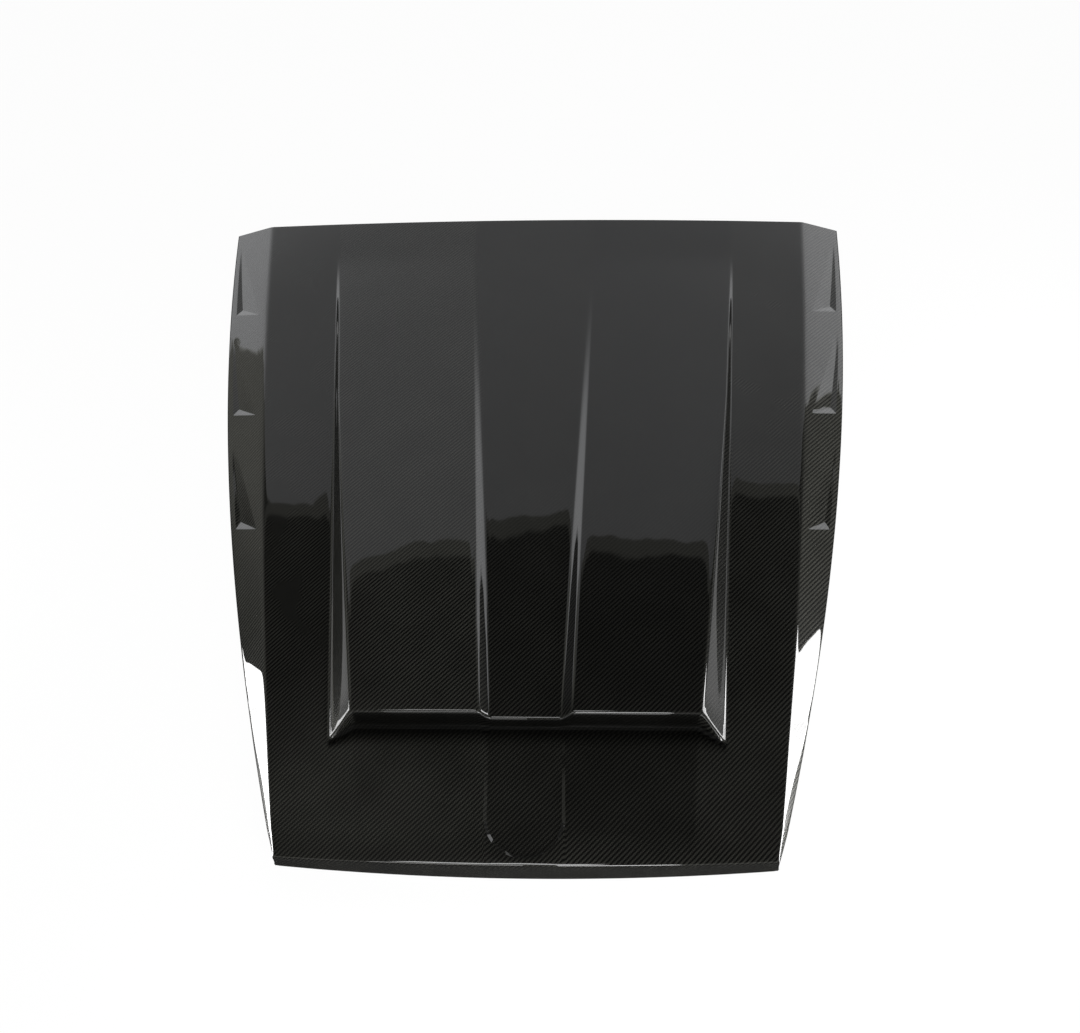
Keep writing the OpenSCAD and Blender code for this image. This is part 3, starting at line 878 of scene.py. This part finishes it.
class MouldScoop(bpy.types.Operator):
    """Moulds the whole scoop as one laminate"""

    bl_idname = "scoop.mould"
    bl_label = "Mould Scoop"

    def execute(self, context):
        form = Form(context.scene.scoop_sizes)
        piece, net = loft_grid(form)
        mark_cloth(piece, net, form)
        mark_painted_sheen_and_coat(piece, net, form)
        crisp_lines(piece, net, form)
        cut_vents(piece, net, form)
        finish_modifier(piece, "SUBSURF", levels=2, render_levels=2, boundary_smooth="PRESERVE_CORNERS",
                        uv_smooth="PRESERVE_BOUNDARIES", use_limit_surface=True)
        lay_cloth(piece)
        wave_surface(piece, form.waviness)
        activate(piece, "EDIT")
        bpy.ops.mesh.select_all(action="SELECT")
        bpy.ops.mesh.normals_make_consistent(inside=False)
        bpy.ops.object.mode_set(mode="OBJECT")
        finish_modifier(piece, "SOLIDIFY", thickness=form.wall, offset=-1.0, use_even_offset=True)
        activate(piece)
        bpy.ops.object.shade_smooth_by_angle(angle=math.radians(40))
        piece.data.materials.append(carbon_material(context.scene.scoop_finish))
        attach(piece, "root")
        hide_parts("bonnet_scoop")
        return {"FINISHED"}


class SetStudio(bpy.types.Operator):
    """Sets up the floor, the surroundings, the lights and the camera"""

    bl_idname = "scoop.studio"
    bl_label = "Set Up Studio"

    def execute(self, context):
        studio = context.scene.scoop_studio
        self.lay_floor(context, studio)
        self.surround(context)
        self.light(context, studio)
        self.set_camera(context, studio)
        context.scene.view_settings.view_transform = "Standard"
        return {"FINISHED"}

    def lay_floor(self, context, studio):
        """A pale floor; reflections see it white, and dark in the part's shade ahead of the lip and by the rims."""
        bpy.ops.object.select_all(action="DESELECT")
        bpy.ops.mesh.primitive_plane_add(size=FLOOR_SIZE, location=(0, 0, -FLOOR_DROP))
        floor = context.object
        floor.name = "studio_floor"
        material = bpy.data.materials.new("pale_floor")
        material.use_nodes = True
        tree = material.node_tree
        tree.nodes.clear()
        path = tree_node(tree, "ShaderNodeLightPath")
        mirrored = calc(tree, "MAXIMUM", path.outputs["Is Glossy Ray"], path.outputs["Is Transmission Ray"])
        spot = tree_node(tree, "ShaderNodeSeparateXYZ", {0: tree_node(tree, "ShaderNodeTexCoord").outputs["Object"]})
        across, along = calc(tree, "ABSOLUTE", spot.outputs[0]), spot.outputs[1]
        before_lip = product(tree, slope(tree, along, -0.85, -0.64), slope(tree, along, -0.56, -0.50, 1.0, 0.0))
        off_rim = calc(tree, "SUBTRACT", across, calc(tree, "MULTIPLY_ADD", along, RIM_SLANT, RIM_AT))
        by_rim = product(tree, slope(tree, off_rim, 0.004, 0.009, 1.0, 0.0), slope(tree, along, -0.2, -0.15, 1.0, 0.0))
        shade = product(tree, calc(tree, "MAXIMUM", before_lip, by_rim), mirrored)
        level = calc(tree, "MULTIPLY_ADD", shade, -0.94, 1.0)
        plain = calc(tree, "MAXIMUM", product(tree, path.outputs["Is Camera Ray"], 0.95), mirrored)
        diffuse = tree_node(tree, "ShaderNodeBsdfDiffuse", {"Color": (*studio.floor_colour, 1.0)}).outputs[0]
        white = tree_node(tree, "ShaderNodeEmission", {"Color": (1, 1, 1, 1), "Strength": level}).outputs[0]
        both = tree_node(tree, "ShaderNodeMixShader", {0: plain, 1: diffuse, 2: white}).outputs[0]
        tree_node(tree, "ShaderNodeOutputMaterial", {0: both})
        floor.data.materials.append(material)

    def surround(self, context):
        """A bright screen behind the part, dark above, with olive ground to each side; directions are in degrees."""
        world = bpy.data.worlds.new("studio_surroundings")
        context.scene.world = world
        world.use_nodes = True
        tree = world.node_tree
        tree.nodes.clear()
        way = tree_node(tree, "ShaderNodeTexCoord").outputs["Generated"]
        part = tree_node(tree, "ShaderNodeSeparateXYZ", {0: way})
        turn = calc(tree, "DEGREES", calc(tree, "ARCTAN2", part.outputs[0], part.outputs[1]))
        high = calc(tree, "DEGREES", calc(tree, "ARCSINE", part.outputs[2]))
        right, off = calc(tree, "GREATER_THAN", turn, 0.0), calc(tree, "ABSOLUTE", turn)
        rough = tree_node(tree, "ShaderNodeTexNoise", {"Vector": way, "Scale": 26.0, "Detail": 5.0}).outputs[0]
        wobble = calc(tree, "SUBTRACT", rough, 0.5)
        over = calc(tree, "MULTIPLY_ADD", wobble, 0.8, calc(tree, "SUBTRACT", high, skyline(tree, turn)))
        beside = calc(tree, "MULTIPLY_ADD", wobble, 4.0, calc(tree, "SUBTRACT", off, screen_edge(tree, right, high)))
        is_side, is_over = slope(tree, beside, -0.3, 0.3), slope(tree, over, -0.04, 0.04)
        level = blend(tree, is_side, screen_level(tree, turn, off, high, wobble), side_level(tree, right, off, high))
        level = blend(tree, is_over, level, above_level(tree, turn, high, over))
        tint = blend_colour(tree, calc(tree, "MAXIMUM", is_side, is_over), (0.97, 0.98, 1.0), (1.0, 1.0, 0.90))
        surround = tree_node(tree, "ShaderNodeBackground", {"Color": tint, "Strength": level}).outputs[0]
        white = tree_node(tree, "ShaderNodeBackground", {"Color": (1, 1, 1, 1), "Strength": 1.0}).outputs[0]
        seen = tree_node(tree, "ShaderNodeLightPath").outputs["Is Camera Ray"]
        both = tree_node(tree, "ShaderNodeMixShader", {0: seen, 1: surround, 2: white}).outputs[0]
        tree_node(tree, "ShaderNodeOutputWorld", {0: both})

    def light(self, context, studio):
        """One soft lamp ahead of the camera, and strip lamps beside, below and ahead of the part's front end."""
        self.add_lamp(context, *SOFTBOX, studio.key_power)
        for *values, part in STRIPS:
            self.add_lamp(context, *values, studio.strip_power * part)

    def add_lamp(self, context, name, place, turn, size, watts):
        """A lamp that reflections see and the camera doesn't."""
        bpy.ops.object.light_add(type="AREA", location=place, rotation=[math.radians(t) for t in turn])
        lamp = context.object
        lamp.name = lamp.data.name = name
        lamp.data.shape = "RECTANGLE"
        lamp.data.size, lamp.data.size_y = size
        lamp.data.energy = watts
        lamp.visible_camera = False

    def set_camera(self, context, studio):
        """The photograph's view, found from the outline, the creases and the weave."""
        bpy.ops.object.camera_add(location=CAMERA_PLACE, rotation=[math.radians(t) for t in CAMERA_TURN])
        camera = context.object
        camera.name = "photograph_view"
        camera.data.sensor_width, camera.data.lens = SENSOR, studio.lens
        camera.data.shift_x, camera.data.shift_y = CAMERA_SHIFT
        camera.data.clip_start, camera.data.clip_end = 0.01, 100.0
        context.scene.camera = camera


class ScoopPanel(bpy.types.Panel):
    """Lists the steps in their order"""

    bl_idname = "VIEW3D_PT_bonnet_scoop"
    bl_label = "Bonnet Scoop"
    bl_space_type = "VIEW_3D"
    bl_region_type = "UI"
    bl_category = "Bonnet Scoop"

    def draw(self, context):
        for step in STEPS:
            self.layout.operator(step.bl_idname)


STEPS = (MouldScoop, SetStudio)
CLASSES = (ScoopSizes, ScoopFinish, ScoopStudio, *STEPS, ScoopPanel)
GROUPS = {"scoop_sizes": ScoopSizes, "scoop_finish": ScoopFinish, "scoop_studio": ScoopStudio}


def register():
    for cls in CLASSES:
        bpy.utils.register_class(cls)
    for name, group in GROUPS.items():
        setattr(bpy.types.Scene, name, PointerProperty(type=group))


def unregister():
    for name in GROUPS:
        delattr(bpy.types.Scene, name)
    for cls in reversed(CLASSES):
        bpy.utils.unregister_class(cls)


def main():
    register()
    bpy.ops.scoop.mould()
    bpy.ops.scoop.studio()


if __name__ == "__main__":
    main()
